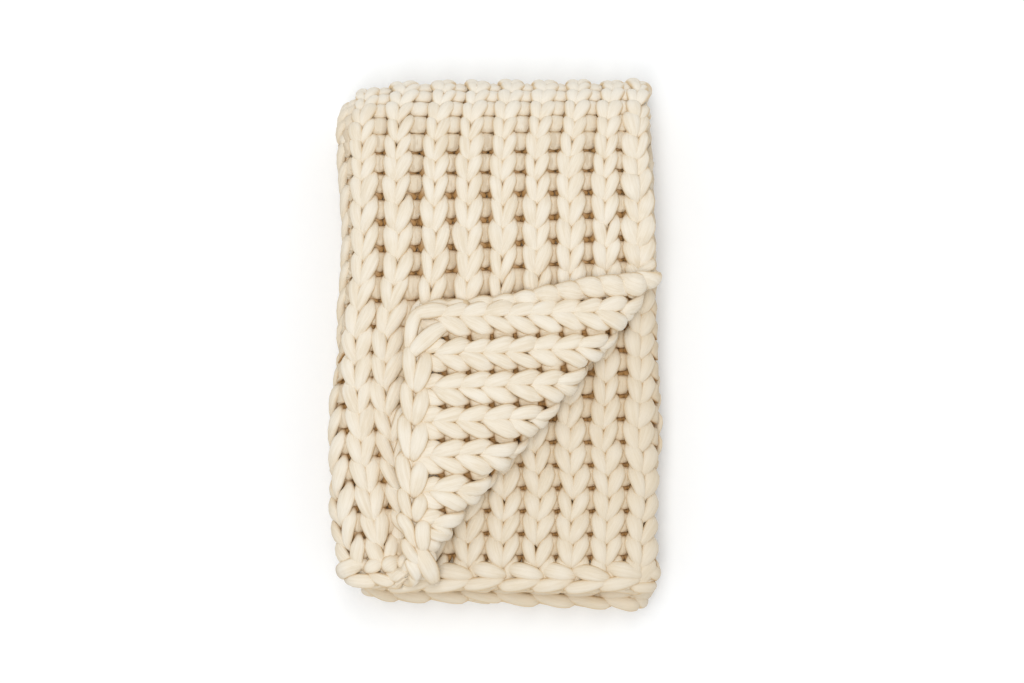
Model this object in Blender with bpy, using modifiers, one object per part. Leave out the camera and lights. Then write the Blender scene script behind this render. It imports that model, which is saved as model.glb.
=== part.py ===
"""A chunky knit throw: one ribbed cloth folded in thirds over its width, then in half over its
length, with the near right corner of the top layer turned back. Metres, +Z up, +X right, +Y away."""
import math

import bmesh
import bpy
import numpy as np

# The cloth
RIBS = 27
CLOTH_THICKNESS = 0.012
RIB_HEIGHT = 0.005            # how far a rib stands out of the middle of the cloth
EDGE_FADE = 0.6               # over this many ribs the wave dies out at the two selvedges
TURN_FLATNESS = 0.6           # share of their height that the ribs lose where they round a side fold
LAYER_PITCH = 0.027           # from the middle of one layer to the middle of the next

# Width fold: layer 1 runs from the right selvedge to the left, layer 2 back, layer 3 left again
SELVEDGE_X = 0.209
LEFT_TURN_X = -0.172
RIGHT_TURN_X = 0.179
TURN_REACH = 0.026            # how far a side fold bulges past the flat part of its layers
FREE_EDGE_X = -0.196
# columns: ribs from the first selvedge, width of a rib from there on
RIB_WIDTHS = (
    (0.0, 0.0465),
    (6.5, 0.0520),
    (7.5, 0.0410),
    (11.0, 0.0452),
    (17.5, 0.0440),
    (19.2, 0.0486),
)

# Length fold over the far end
FAR_TURN_Y = 0.267
OUTER_RADIUS = 2.5 * LAYER_PITCH
TURN_HEIGHT = OUTER_RADIUS + RIB_HEIGHT + CLOTH_THICKNESS / 2
# columns: ribs from the first selvedge, near end of the upper half, near end of the lower half
HEM_LINE = (
    (0.0, -0.247, -0.345),
    (7.0, -0.319, -0.336),
    (10.0, -0.327, -0.334),
    (17.6, -0.328, -0.343),
    (19.1, -0.332, -0.345),
    (27.0, -0.330, -0.336),
)

# The corner turned back over a slanted line
CREASE_X = 0.1847
CREASE_Y = 0.0859
CREASE_ANGLE = math.radians(50.5)
CREASE_RADIUS = 0.015
CORNER_STRETCH = 1.08         # the cloth is drawn out across the crease
CORNER_SLIP = 0.07            # and slips a little along it

# Unevenness of the outline. Columns: Y, shift of the left side, shift of the right side
SIDE_WAVES = (
    (-0.350, 0.004, -0.002),
    (-0.290, 0.001, 0.002),
    (-0.230, -0.005, -0.003),
    (-0.150, -0.009, 0.002),
    (-0.070, -0.005, 0.004),
    (0.050, 0.002, 0.000),
    (0.120, 0.006, -0.001),
    (0.200, 0.005, -0.003),
    (0.300, 0.000, -0.009),
    (0.350, 0.000, -0.010),
)
# Columns: X and Y of a square corner, its pull in X and in Y, how far the pull reaches
CORNER_PULLS = (
    (-0.213, 0.348, 0.024, -0.029, 0.059),
    (0.205, 0.348, -0.014, 0.012, 0.037),
    (-0.213, -0.338, 0.025, 0.022, 0.046),
    (0.215, -0.350, -0.010, 0.010, 0.026),
)
MIDDLE_X = 0.00127            # middle of the folded stack, which is set on the origin
MIDDLE_Y = 0.00361
SIDE_SAG = 0.06               # share of its height that the stack loses at its sides

# Mesh cells across the cloth
CELLS_A_RIB = 3
CELLS_A_HIDDEN_RIB = 2
HIDDEN_FROM_RIB = 19
# Mesh cells along the cloth: on the turned corner, round its crease, behind it, round the far end
CORNER_CELLS = 9
CREASE_CELLS = 6
BEHIND_CELLS = 9
TURN_CELLS = 8
BOTTOM_STEPS = (0.30, 0.58, 0.80, 0.93, 1.0)
LEAST_CORNER = 0.035          # least length of the corner's cells together
LEAST_CREASE = 0.040
# Columns: ribs from the first selvedge, ends of the corner's and the crease's cells where no crease is
EVEN_RUN = (
    (8.3, 0.06, 0.13),
    (11.0, 0.20, 0.36),
    (27.0, 0.20, 0.36),
)
FLAT_SNAP = 0.0012            # points this near the surface that it lies on are laid on it

CREAM = (0.88, 0.80, 0.66, 1.0)


def width_path():
    """The folded width as a line: X, depth under layer 1, and distance along it from the selvedge."""
    turn = np.linspace(0, math.pi, 61)
    bulge = TURN_REACH * np.sin(turn)
    drop = LAYER_PITCH / 2 * (1 - np.cos(turn))
    x = np.concatenate([[SELVEDGE_X], LEFT_TURN_X - bulge, RIGHT_TURN_X + bulge, [FREE_EDGE_X]])
    depth = np.concatenate([[0], drop, LAYER_PITCH + drop, [2 * LAYER_PITCH]])
    along = np.concatenate([[0], np.cumsum(np.hypot(np.diff(x), np.diff(depth)))])
    return x, depth, along


def rib_distance(ribs, length):
    """Distance from the first selvedge to a place counted in ribs, with the whole width kept."""
    starts = [row[0] for row in RIB_WIDTHS] + [RIBS]
    widths = [row[1] for row in RIB_WIDTHS]
    marks = np.concatenate([[0], np.cumsum(np.diff(starts) * widths)])
    return np.interp(ribs, starts, marks) * length / marks[-1]


def turn_corner(x, y, z, on_top):
    """Roll what lies past the slanted line up, over and back onto the top layer."""
    along_x, along_y = math.cos(CREASE_ANGLE), math.sin(CREASE_ANGLE)
    across = (x - CREASE_X) * along_y - (y - CREASE_Y) * along_x
    across = np.where(on_top, np.maximum(across, 0), 0)
    angle = np.minimum(across / CREASE_RADIUS, math.pi)
    laid = np.maximum(across - math.pi * CREASE_RADIUS, 0) * CORNER_STRETCH
    shift = CREASE_RADIUS * np.sin(angle) - laid - across
    slip = CORNER_SLIP * across
    x = x + shift * along_y + slip * along_x
    y = y - shift * along_x + slip * along_y
    z = z + CREASE_RADIUS * (1 - np.cos(angle))
    return x, y, z


def unevenness(x, y, z):
    """Wavy sides, corners drawn in, and a stack that is a little lower at its sides."""
    rows = np.array(SIDE_WAVES)
    share = np.clip((x - LEFT_TURN_X) / (RIGHT_TURN_X - LEFT_TURN_X), 0, 1)
    wave_x = np.interp(y, rows[:, 0], rows[:, 1]) * (1 - share) + np.interp(y, rows[:, 0], rows[:, 2]) * share
    pull_x = np.zeros_like(x)
    pull_y = np.zeros_like(x)
    for corner_x, corner_y, move_x, move_y, reach in CORNER_PULLS:
        near = np.exp(-((x - corner_x) ** 2 + (y - corner_y) ** 2) / reach ** 2)
        pull_x += move_x * near
        pull_y += move_y * near
    sag = 1 - SIDE_SAG * np.clip(np.abs(x) / SELVEDGE_X, 0, 1) ** 4
    return x + wave_x + pull_x - MIDDLE_X, y + pull_y - MIDDLE_Y, z * sag


def lay(ribs, run):
    """Middle of the cloth. ribs: place across, from the first selvedge. run: 0 to 1 from the near
    end along the upper half, 1 to 2 round the far fold, 2 to 3 back along the lower half."""
    path_x, path_depth, path_along = width_path()
    across = rib_distance(ribs, path_along[-1])
    x = np.interp(across, path_along, path_x)
    radius = OUTER_RADIUS - np.interp(across, path_along, path_depth)
    hems = np.array(HEM_LINE)
    upper_hem = np.interp(ribs, hems[:, 0], hems[:, 1])
    lower_hem = np.interp(ribs, hems[:, 0], hems[:, 2])
    angle = math.pi * np.clip(run - 1, 0, 1)
    y = FAR_TURN_Y + radius * np.sin(angle)
    y = y - np.clip(1 - run, 0, 1) * (FAR_TURN_Y - upper_hem) - np.clip(run - 2, 0, 1) * (FAR_TURN_Y - lower_hem)
    z = TURN_HEIGHT + radius * np.cos(angle)
    on_top = (across <= SELVEDGE_X - LEFT_TURN_X) & (run < 1)
    x, y, z = turn_corner(x, y, z, on_top)
    return np.stack(unevenness(x, y, z), axis=-1)


def cloth_normals(ribs, run):
    """Unit normals of the middle of the cloth, out of its outer face."""
    small_rib, small_run = 0.02, 0.002
    right = lay(np.clip(ribs + small_rib, 0, RIBS), run) - lay(np.clip(ribs - small_rib, 0, RIBS), run)
    away = lay(ribs, np.clip(run + small_run, 0, 3)) - lay(ribs, np.clip(run - small_run, 0, 3))
    normals = np.cross(away, right)
    return normals / np.linalg.norm(normals, axis=-1, keepdims=True)


def rib_wave(ribs):
    """Ribs on both faces: out at the middle of each rib, in between two ribs, nothing at a selvedge."""
    path_x, path_depth, path_along = width_path()
    x = np.interp(rib_distance(ribs, path_along[-1]), path_along, path_x)
    turned = np.clip(np.maximum(LEFT_TURN_X - x, x - RIGHT_TURN_X) / TURN_REACH, 0, 1)
    inside = np.minimum(ribs, RIBS - ribs)
    wave = np.clip(-1.6 * np.cos(2 * math.pi * ribs), -1, 1)
    return RIB_HEIGHT * wave * np.clip(inside / EDGE_FADE, 0, 1) * (1 - TURN_FLATNESS * turned)


def rib_lines():
    """Places of the grid lines that run along the ribs."""
    shown = np.arange(HIDDEN_FROM_RIB * CELLS_A_RIB) / CELLS_A_RIB
    hidden = np.arange((RIBS - HIDDEN_FROM_RIB) * CELLS_A_HIDDEN_RIB + 1) / CELLS_A_HIDDEN_RIB
    return np.concatenate([shown, HIDDEN_FROM_RIB + hidden])


def crease_run(ribs, across):
    """Run at which the flat top layer lies this far past the slanted line."""
    x = SELVEDGE_X - rib_distance(ribs, width_path()[2][-1])
    slope = math.tan(CREASE_ANGLE)
    y = CREASE_Y + (x - CREASE_X) * slope - across / math.cos(CREASE_ANGLE)
    hems = np.array(HEM_LINE)
    upper_hem = np.interp(ribs, hems[:, 0], hems[:, 1])
    return (y - upper_hem) / (FAR_TURN_Y - upper_hem), FAR_TURN_Y - upper_hem


def run_lines(ribs):
    """Places of the grid lines that run across the ribs: a row of them for each place in ribs. On the
    top layer they follow the crease."""
    even = np.array(EVEN_RUN)
    end_of_corner, length = crease_run(ribs, math.pi * CREASE_RADIUS)
    end_of_crease, length = crease_run(ribs, 0)
    end_of_corner = np.maximum(end_of_corner, LEAST_CORNER / length)
    end_of_crease = np.maximum(end_of_crease, end_of_corner + LEAST_CREASE / length)
    folded = ribs < EVEN_RUN[0][0]
    end_of_corner = np.where(folded, end_of_corner, np.interp(ribs, even[:, 0], even[:, 1]))
    end_of_crease = np.where(folded, end_of_crease, np.interp(ribs, even[:, 0], even[:, 2]))
    corner = np.linspace(0, end_of_corner, CORNER_CELLS + 1, axis=1)
    crease = np.linspace(end_of_corner, end_of_crease, CREASE_CELLS + 1, axis=1)[:, 1:]
    behind = np.linspace(end_of_crease, 1, BEHIND_CELLS + 1, axis=1)[:, 1:]
    rest = np.concatenate([np.linspace(1, 2, TURN_CELLS + 1)[1:], 2 + np.array(BOTTOM_STEPS)])
    return np.concatenate([corner, crease, behind, np.tile(rest, (len(ribs), 1))], axis=1)


def cloth_sheet():
    """The middle of the cloth as an open grid, bent into its folds."""
    lines_across = rib_lines()
    lines_along = run_lines(lines_across)
    last_column, last_row = len(lines_across) - 1, lines_along.shape[1] - 1
    mesh = bpy.data.meshes.new("blanket")
    bm = bmesh.new()
    bmesh.ops.create_grid(bm, x_segments=last_column, y_segments=last_row, size=0.5)
    places = np.array([vert.co for vert in bm.verts])
    column = np.rint((places[:, 0] + 0.5) * last_column).astype(int)
    row = np.rint((places[:, 1] + 0.5) * last_row).astype(int)
    ribs = lines_across[column]
    run = lines_along[column, row]
    points = lay(ribs, run) + cloth_normals(ribs, run) * rib_wave(ribs)[:, None]
    for vert, point in zip(bm.verts, points):
        vert.co = point
    bmesh.ops.reverse_faces(bm, faces=bm.faces)
    bm.to_mesh(mesh)
    bm.free()
    return mesh


def thicken(blanket):
    """Give the sheet its thickness on both sides and lay its lowest ribs flat on the surface."""
    solidify = blanket.modifiers.new("thickness", "SOLIDIFY")
    solidify.thickness = CLOTH_THICKNESS
    solidify.offset = 0
    depsgraph = bpy.context.evaluated_depsgraph_get()
    solid = bpy.data.meshes.new_from_object(blanket.evaluated_get(depsgraph))
    blanket.modifiers.clear()
    blanket.data = solid
    lowest = min(vert.co.z for vert in solid.vertices)
    for vert in solid.vertices:
        height = vert.co.z - lowest
        vert.co.z = 0 if height < FLAT_SNAP else height


def knit_material():
    material = bpy.data.materials.new("cream_wool")
    material.use_nodes = True
    shader = material.node_tree.nodes["Principled BSDF"]
    shader.inputs["Base Color"].default_value = CREAM
    shader.inputs["Roughness"].default_value = 0.9
    shader.inputs["Metallic"].default_value = 0.0
    return material


def main():
    for item in list(bpy.data.objects):
        bpy.data.objects.remove(item, do_unlink=True)
    collection = bpy.data.collections.new("chunky_knit_blanket")
    bpy.context.scene.collection.children.link(collection)
    blanket = bpy.data.objects.new("blanket", cloth_sheet())
    collection.objects.link(blanket)
    thicken(blanket)
    blanket.data.materials.clear()
    blanket.data.materials.append(knit_material())
    blanket.data.shade_smooth()


main()
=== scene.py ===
"""Looks of the chunky knit throw: the yarn, knitted loop by loop in the folds of the cloth."""
import math

import bpy
import numpy as np
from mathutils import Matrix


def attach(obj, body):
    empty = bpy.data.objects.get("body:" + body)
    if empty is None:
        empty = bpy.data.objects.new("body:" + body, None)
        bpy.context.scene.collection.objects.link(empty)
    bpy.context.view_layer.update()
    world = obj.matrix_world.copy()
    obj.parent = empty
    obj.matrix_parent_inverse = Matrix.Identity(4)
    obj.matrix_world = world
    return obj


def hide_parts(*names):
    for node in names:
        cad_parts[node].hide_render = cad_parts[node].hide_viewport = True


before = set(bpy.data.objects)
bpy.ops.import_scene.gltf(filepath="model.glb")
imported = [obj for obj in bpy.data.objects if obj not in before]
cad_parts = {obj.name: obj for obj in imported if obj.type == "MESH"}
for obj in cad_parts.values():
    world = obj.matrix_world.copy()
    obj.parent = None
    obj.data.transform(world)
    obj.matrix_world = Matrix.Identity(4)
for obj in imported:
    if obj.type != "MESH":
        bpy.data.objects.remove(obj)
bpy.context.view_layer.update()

# ---------------------------------------------------------------- small tools
MM = 0.001                    # in metres
SHORTEST = 1e-12
ANY = -9.0                    # less than any place that is counted in ribs or rows


def unit(vectors):
    """The same directions, each one long."""
    return vectors / np.maximum(np.linalg.norm(vectors, axis=-1, keepdims=True), SHORTEST)


def ramp(value, none, full):
    """0 up to one value, 1 past the other, and an even slope between them."""
    return np.clip((value - none) / (full - none), 0, 1)


def within(value, span):
    """0 outside the first and last of a span's four values, 1 between the middle two. Where two
    of them are the same there is a step."""
    start, risen, falling, end = span
    rise = ramp(value, start, risen) if risen > start else value > start
    fall = ramp(value, end, falling) if end > falling else value < end
    return rise * fall


# ---------------------------------------------------------------- the folded cloth
RIBS = 27
RIB_MM = 46.5
ROWS = 45.4                   # the cloth's length in rows, its two edge chains included
ROW_MM = 31.0
LAYER_PITCH = 0.027           # from the middle of one layer to the middle of the next
SELVEDGE_X = 0.209
LEFT_TURN_X = -0.172
RIGHT_TURN_X = 0.179
TURN_REACH = 0.026            # how far a side fold bulges past the flat part of its layers
FOLD_POINTS = 61              # points of the line round it
FREE_EDGE_X = -0.196
# columns: ribs from the first selvedge, width of a rib from there on
RIB_WIDTHS = (
    (0.0, 0.0465),
    (6.5, 0.0520),
    (7.5, 0.0410),
    (11.0, 0.0452),
    (17.5, 0.0440),
    (19.2, 0.0486),
)
FAR_TURN_Y = 0.267
OUTER_RADIUS = 2.5 * LAYER_PITCH
TURN_HEIGHT = OUTER_RADIUS + 0.0125   # of the middle of the far turn
# columns: ribs from the first selvedge, near end of the upper half, near end of the lower half
HEM_LINE = (
    (0.0, -0.247, -0.356),
    (4.0, -0.288, -0.344),
    (7.0, -0.321, -0.340),
    (10.0, -0.330, -0.348),
    (13.0, -0.328, -0.342),
    (17.6, -0.328, -0.354),
    (19.1, -0.332, -0.356),
    (27.0, -0.330, -0.345),
)
CREASE_X = 0.1847             # the slanted fold of the laid-back corner goes through this place
CREASE_Y = 0.0859
CREASE_ANGLE = math.radians(50.5)
CREASE_RADIUS = 0.015
CORNER_STRETCH = 1.08         # the cloth is drawn out across the fold
CORNER_SLIP = 0.07            # and slips a little along it
# columns: Y, shift of the left side, shift of the right side
SIDE_WAVES = (
    (-0.350, 0.004, -0.002),
    (-0.290, 0.001, 0.002),
    (-0.230, -0.005, -0.003),
    (-0.150, -0.009, 0.002),
    (-0.070, -0.005, 0.004),
    (0.050, 0.005, 0.000),
    (0.120, 0.011, -0.001),
    (0.200, 0.009, -0.003),
    (0.300, 0.001, -0.009),
    (0.350, 0.000, -0.010),
)
# columns: X and Y of a square corner, its pull in X and in Y, how far the pull reaches
CORNER_PULLS = (
    (-0.213, 0.348, 0.010, -0.016, 0.059),
    (0.205, 0.348, 0.004, 0.004, 0.037),
    (-0.213, -0.338, 0.022, 0.008, 0.046),
    (0.215, -0.350, -0.014, -0.002, 0.026),
)
MIDDLE_X = 0.00127            # middle of the folded stack, which is set on the origin
MIDDLE_Y = 0.00361
SIDE_SAG = 0.06               # share of its height that the stack loses at its sides
SAG_POWER = 4

# Where the rows lie. Upper half of the top layer: even rows up to here, closer ones on to the turn
EVEN_ROWS = 15.5
EVEN_ROWS_Y = 0.2083
TURN_ROWS = 17.7              # rows before the far turn on the outer layer
MORE_TURN_ROWS = 2.05         # and this many more with each layer further in
PAST_END = 0.1                # the cloth's map goes on past its ends by this share of a half


def width_path():
    """The folded width as a line: X, depth under layer 1, and distance from the selvedge."""
    turn = np.linspace(0, math.pi, FOLD_POINTS)
    bulge = TURN_REACH * np.sin(turn)
    drop = LAYER_PITCH / 2 * (1 - np.cos(turn))
    x = np.concatenate([[SELVEDGE_X], LEFT_TURN_X - bulge, RIGHT_TURN_X + bulge, [FREE_EDGE_X]])
    depth = np.concatenate([[0], drop, LAYER_PITCH + drop, [2 * LAYER_PITCH]])
    along = np.concatenate([[0], np.cumsum(np.hypot(np.diff(x), np.diff(depth)))])
    return x, depth, along


PATH_X, PATH_DEPTH, PATH_ALONG = width_path()


def rib_distance(ribs):
    """Distance from the first selvedge to a place counted in ribs, with the whole width kept."""
    starts = [row[0] for row in RIB_WIDTHS] + [RIBS]
    widths = [row[1] for row in RIB_WIDTHS]
    marks = np.concatenate([[0], np.cumsum(np.diff(starts) * widths)])
    return np.interp(ribs, starts, marks) * PATH_ALONG[-1] / marks[-1]


def turn_corner(x, y, z, on_top):
    """Roll what lies past the slanted line up, over and back onto the top layer."""
    along_x, along_y = math.cos(CREASE_ANGLE), math.sin(CREASE_ANGLE)
    across = (x - CREASE_X) * along_y - (y - CREASE_Y) * along_x
    across = np.where(on_top, np.maximum(across, 0), 0)
    angle = np.minimum(across / CREASE_RADIUS, math.pi)
    laid = np.maximum(across - math.pi * CREASE_RADIUS, 0) * CORNER_STRETCH
    shift = CREASE_RADIUS * np.sin(angle) - laid - across
    slip = CORNER_SLIP * across
    x = x + shift * along_y + slip * along_x
    y = y - shift * along_x + slip * along_y
    z = z + CREASE_RADIUS * (1 - np.cos(angle))
    return x, y, z


def unevenness(x, y, z):
    """Wavy sides, corners drawn in, and a stack that is a little lower at its sides."""
    rows = np.array(SIDE_WAVES)
    share = ramp(x, LEFT_TURN_X, RIGHT_TURN_X)
    left_wave, right_wave = (np.interp(y, rows[:, 0], rows[:, column]) for column in (1, 2))
    wave_x = left_wave * (1 - share) + right_wave * share
    pull_x = np.zeros_like(x)
    pull_y = np.zeros_like(x)
    for corner_x, corner_y, move_x, move_y, reach in CORNER_PULLS:
        near = np.exp(-((x - corner_x) ** 2 + (y - corner_y) ** 2) / reach ** 2)
        pull_x += move_x * near
        pull_y += move_y * near
    sag = 1 - SIDE_SAG * ramp(np.abs(x), 0, SELVEDGE_X) ** SAG_POWER
    return x + wave_x + pull_x - MIDDLE_X, y + pull_y - MIDDLE_Y, z * sag


def hem_lines(ribs):
    """Y of the near end of the upper half and of the lower half."""
    hems = np.array(HEM_LINE)
    return (np.interp(ribs, hems[:, 0], hems[:, column]) for column in (1, 2))


def lay(ribs, run):
    """Middle of the cloth. ribs: place across, from the first selvedge. run: 0 to 1 from the near
    end along the upper half, 1 to 2 round the far fold, 2 to 3 back along the lower half."""
    across = rib_distance(ribs)
    x = np.interp(across, PATH_ALONG, PATH_X)
    radius = OUTER_RADIUS - np.interp(across, PATH_ALONG, PATH_DEPTH)
    upper_hem, lower_hem = hem_lines(ribs)
    angle = math.pi * np.clip(run - 1, 0, 1)
    y = FAR_TURN_Y + radius * np.sin(angle)
    y = y - np.minimum(1 - run, 1 + PAST_END) * (run < 1) * (FAR_TURN_Y - upper_hem)
    y = y - np.minimum(run - 2, 1 + PAST_END) * (run > 2) * (FAR_TURN_Y - lower_hem)
    z = TURN_HEIGHT + radius * np.cos(angle)
    on_top = (across <= SELVEDGE_X - LEFT_TURN_X) & (run < 1)
    x, y, z = turn_corner(x, y, z, on_top)
    return np.stack(unevenness(x, y, z), axis=-1)


def rows_to_run(ribs, rows):
    """The run along the cloth at a place counted in rows from the near end of the upper half."""
    layer = np.interp(rib_distance(ribs), PATH_ALONG, PATH_DEPTH) / LAYER_PITCH
    upper_hem, _ = hem_lines(ribs)
    turn_rows = TURN_ROWS + MORE_TURN_ROWS * layer
    even_run = (EVEN_ROWS_Y - upper_hem) / (FAR_TURN_Y - upper_hem)
    even = rows / EVEN_ROWS * even_run
    closer = even_run + (rows - EVEN_ROWS) / (TURN_ROWS - EVEN_ROWS) * (1 - even_run)
    outer = np.where(rows < EVEN_ROWS, even, closer)
    inner = rows / turn_rows
    share = np.clip(layer, 0, 1)
    mix = share ** 2 * (3 - 2 * share)
    upper = outer * (1 - mix) + inner * mix
    turn = 1 + (rows - turn_rows) / (ROWS - 2 * turn_rows)
    lower = 3 - (ROWS - rows) / turn_rows
    return np.where(rows < turn_rows, np.minimum(upper, 1), np.where(turn < 2, turn, lower))


# Under and on the laid-back corner the ribs slide towards the first selvedge. Columns: rib, slide
# in ribs at the hem, rows from the hem it holds for, rows from the hem where it has gone
RIB_SLIDES = (
    (0.0, 0.58, 11.2, 12.6),
    (1.0, 0.74, 9.9, 11.4),
    (2.0, 0.84, 8.6, 11.2),
    (3.0, 0.97, 7.2, 11.0),
    (4.0, 1.11, 5.9, 11.0),
    (5.0, 1.20, 4.5, 11.0),
    (6.0, 1.27, 3.1, 11.0),
    (6.95, 1.42, 1.8, 10.0),
    (7.2, 1.18, 1.0, 10.5),
    (8.0, 0.95, 0.0, 11.0),
    (9.0, 0.88, 0.0, 11.0),
    (9.5, 0.92, 0.0, 11.0),
    (10.0, 0.75, 0.0, 10.0),
    (12.5, 0.00, 0.0, 10.0),
)
SLIDE_END = 12.5              # ribs: no slide from here on
SLIDE_FADE = 0.042            # less slide by this much with each row away from the hem
FADE_RIBS = 7
CORNER_ROWS = 12              # rows that the laid-back corner takes up at the first selvedge
# The left fold's ribs lie further round beyond the corner. Columns: ribs, slide in ribs
LEFT_SLIDES = ((7.0, 0.0), (8.5, 0.06), (9.5, 0.32), (11.0, 0.0))
LEFT_SLIDE_ROWS = (10, 11, 27, 27)
# How the second layer's ribs wander. Columns: rows from the hem, shift in ribs
SECOND_SHIFTS = (
    (0.0, 0.00),
    (1.5, 0.00),
    (2.4, 0.04),
    (3.6, 0.14),
    (4.8, 0.09),
    (6.2, -0.06),
    (7.5, -0.13),
    (10.0, -0.10),
    (13.0, 0.00),
)
SECOND_SHIFT_RIBS = (12.5, 14, 18.5, 20)
# columns: rows from the hem, how much the outermost half rib of the corner is pushed together
EDGE_SQUEEZE = ((0.0, 0.42), (4.0, 0.40), (8.0, 0.04), (12.0, 0.0))
SQUEEZED_RIBS = 0.6
EDGE_DROOP = 0.008            # how far the laid-back corner's edge sinks
TUCK = 0.22                   # the rib beside the corner's hem lies this much nearer the next one
TUCK_RIBS = (6.3, 6.9, 7.8, 8.5)
TUCK_ROWS = (1.8, 3.0, 8.0, 11.0)


def slide(ribs, rows):
    """How far a place has slid towards the first selvedge, in ribs."""
    table = np.array(RIB_SLIDES)
    amount, hold, gone = (np.interp(ribs, table[:, 0], table[:, column]) for column in (1, 2, 3))
    fade = SLIDE_FADE * (np.clip(rows, 0, CORNER_ROWS) - 1) * (ribs < FADE_RIBS)
    amount = np.maximum(amount - fade, 0) * ramp(rows, gone, hold) * (ribs < SLIDE_END)
    amount = amount - TUCK * within(ribs, TUCK_RIBS) * within(rows, TUCK_ROWS)
    amount = amount - np.interp(rows, *zip(*EDGE_SQUEEZE)) * ramp(ribs, SQUEEZED_RIBS, 0)
    left = np.interp(ribs, *zip(*LEFT_SLIDES)) * within(rows, LEFT_SLIDE_ROWS)
    return amount + left - np.interp(rows, *zip(*SECOND_SHIFTS)) * within(ribs, SECOND_SHIFT_RIBS)


def cloth_middle(ribs, rows):
    """Middle of the cloth where the yarn lies: ribs slid along, the corner's edge a little sunk."""
    slid = ribs - slide(ribs, rows)
    flat = np.maximum(slid, 0)
    step = 0.02
    base = lay(flat, rows_to_run(flat, rows))
    outward = unit(base - lay(flat + step, rows_to_run(flat + step, rows)))
    away = lay(flat, rows_to_run(flat, rows + step)) - base
    front = unit(np.cross(outward, away))
    past = (flat - slid) * RIB_MM * MM
    droop = EDGE_DROOP * ramp(flat, 1, 0) * ramp(rows, CORNER_ROWS, CORNER_ROWS - 1)
    return base + outward * past[..., None] + front * droop[..., None]


def cloth_place(ribs, rows):
    """Middle of the cloth and its outward normal at places counted in ribs and rows."""
    near, far = 0.03, 0.06
    right = cloth_middle(ribs + near, rows) - cloth_middle(ribs - near, rows)
    away = cloth_middle(ribs, rows + far) - cloth_middle(ribs, rows - far)
    return cloth_middle(ribs, rows), unit(np.cross(away, right))


# ---------------------------------------------------------------- the yarn
# The left half of a loop, from the link before it to its head. Columns: across in mm from the
# loop's middle, along in rows, out of the cloth in mm, half width and half thickness in mm
LEFT_HALF = (
    (-11.6, -1.09, 0.0, 10.5, 5.5),
    (-4.5, -0.90, 1.0, 4.5, 4.0),
    (-2.0, -0.68, 7.0, 5.1, 4.6),
    (-5.0, -0.36, 10.0, 7.9, 6.1),
    (-8.2, 0.02, 10.0, 9.0, 6.8),
    (-10.4, 0.33, 7.8, 8.6, 6.4),
    (-10.8, 0.61, 2.2, 5.0, 5.1),
    (-7.5, 0.67, -2.6, 11.8, 5.8),
    (0.0, 0.66, -3.2, 12.2, 6.0),
)
HALF_STEPS = (1, 1, 2, 2, 2, 2, 1, 1)     # between the key points, where loops are made finely
SPANS = 2 * (len(LEFT_HALF) - 1)
INNER_LAG = 0.5               # rows: the inner loops lie this much nearer the cloth's end
LEAN_MM = -3.2                # the outer loops lean over by this much a row, the inner ones back
FIRST_COURSE = 1.45           # rows from the cloth's end to the first course's middle
COURSES = 43
HEM_INSET = 0.36              # rows that the loops keep from the cloth's ends
TOP_RIBS = 10                 # ribs of the top layer, its left fold included

# How much fuller than usual the loops lie. Columns: how much, then the ribs and the rows where it
# starts, is whole, starts to fall, and has gone
OUTER_FULLNESS = (
    (0.40, (5.7, 6.95, 9.45, 10.7), (ANY, ANY, 9, 12)),   # beside the corner
    (0.13, (5.8, 6.8, 8.0, 9.0), (ANY, ANY, 18, 18)),     # and a little on from there
    (0.25, (8.7, 9.2, 9.8, 10.3), (ANY, ANY, 27, 27)),    # where the top layer turns at its left
    (0.15, (12, 12, 18, 18), (ANY, ANY, 8, 12)),          # the second layer's first rows
    (0.11, (ANY, ANY, 9, 9), (ANY, ANY, 15, 17)),         # between the corner and the far turn
)
INNER_FULLNESS = (
    (0.42, (ANY, ANY, 7.5, 8.5), (ANY, ANY, 11.5, 12.5)),  # on the laid-back corner
    (0.34, (12, 12, 20, 20), (ANY, ANY, 6, 9)),            # near the hem of the second layer
    (0.35, (7.25, 7.75, 8.25, 8.75), (ANY, ANY, 6, 6)),    # beside the corner
)
FAR_SLIMNESS = 0.10           # how much slimmer the outer loops are round the far turn
FAR_SLIM_RIBS = (ANY, ANY, 9, 9)
FAR_SLIM_ROWS = (15.5, 17.5, 29, 32)
WIDTH_SHARE = 0.75            # how much of a loop's fullness its yarn's width takes up

FAR_LEAN = 0.45               # ribs: how far they lean over to the right down the far turn
FAR_LEAN_RIBS = (0, 1.4, 6.8, 9)
FAR_LEAN_ROWS = (15, 21, 26, 32)
FAR_LEAN_POWER = 1.3
CORNER_ROUNDING_MM = 24.0     # how the first rib draws in round the far turn
ROUNDED_ROWS = (17, 20, 26, 29)
ROUNDED_RIBS = 0.6
ROUNDNESS = 0.9               # 1 would be a quarter of a circle
HEAD_LIFT_MM = 2.6            # how much higher the inner loops' heads lie round the far turn
HEAD_ROWS = (15.5, 17, 29, 32)
HEAD_SHARES = (0.35, 0.5, 0.5, 0.65)      # of the way along a loop
EDGE_UNEVENNESS = 1.0         # how much more uneven the first rib lies beyond the corner
EDGE_FULLNESS = 0.34          # and how much fuller its inner legs are there
EDGE_RIBS = (ANY, ANY, 1, 1)
EDGE_ROWS = (11, 13, 30, 30)
TOP_SHIFT = 0.10              # ribs: the top layer lies this much further out beyond the corner
TOP_SHIFT_RIBS = (ANY, ANY, 8, 9)
TOP_SHIFT_ROWS = (10, 11)
TURN_FULLNESS = 0.42          # how much wider the inner loops are where the second layer turns
TURN_RIBS = (17.5, 17.9, 18.7, 19.1)
TURN_ROWS_END = 18            # in the rows before this one
TURN_SHIFT = 0.08             # ribs: and how far they slide
TURN_SHIFT_RIBS = (18, 18.1)
BARREL_GROWTH = 0.11          # how much wider the heads are where the rows lie further apart
GROWTH_RIBS = (0.5, 4.5)
GROWTH_ROWS = (16.5, 15)
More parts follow.
